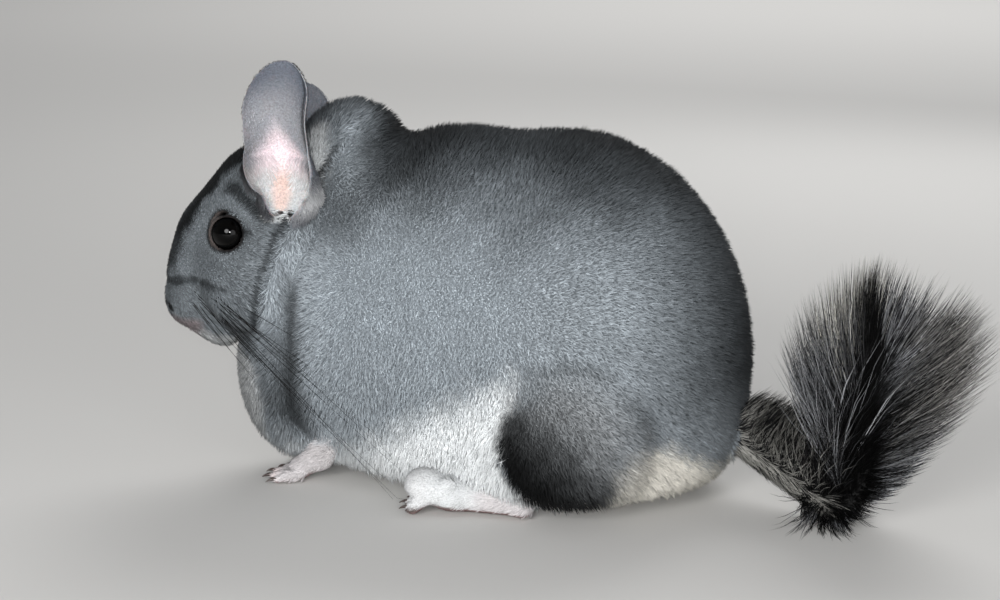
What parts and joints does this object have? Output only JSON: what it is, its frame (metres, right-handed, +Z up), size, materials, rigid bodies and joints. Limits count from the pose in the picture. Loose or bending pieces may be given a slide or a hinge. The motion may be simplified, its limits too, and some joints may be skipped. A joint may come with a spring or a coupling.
{
  "type": "chinchilla",
  "caption": "Life-size still model of a grey chinchilla crouched at rest, ears up, with its bushy tail curled upwards behind it.",
  "frame": {"origin": "on the floor, at the middle of the model's length and width", "axes": "+Z up; the nose points to -X; the animal's left side, which the picture shows, is towards -Y"},
  "size_m": [0.3046, 0.132, 0.1573],
  "materials": {
    "coat_face": "short dense fur, blue-grey",
    "coat_mantle": "dense plush fur, grey over the nape, paler below",
    "coat_body": "dense plush fur, dark along the back, silver sides, white belly",
    "coat_haunch": "dense plush fur, dark grey",
    "tail": "long bristly hair, black and pale grey",
    "paw": "very short white fur",
    "ear": "thin soft skin, grey at the rim, pink inside",
    "eye": "glossy black",
    "claw": "dark brown horn",
    "nose": "soft matte skin, pinkish grey",
    "whisker": "fine stiff hairs"
  },
  "bodies": {
    "root": {"head": "coat_face", "neck": "coat_mantle", "torso": "coat_body", "haunch_left": "coat_haunch", "haunch_right": "coat_haunch", "eye_left": "eye", "eye_right": "eye", "ear_left": "ear", "ear_right": "ear", "foreleg_left": "coat_mantle", "foreleg_right": "coat_mantle", "front_paw_left": "paw", "front_paw_right": "paw", "hind_foot_left": "paw", "hind_foot_right": "paw", "tail_base": "tail", "tail_middle": "tail", "tail_tip": "tail"}
  },
  "joints": []
}
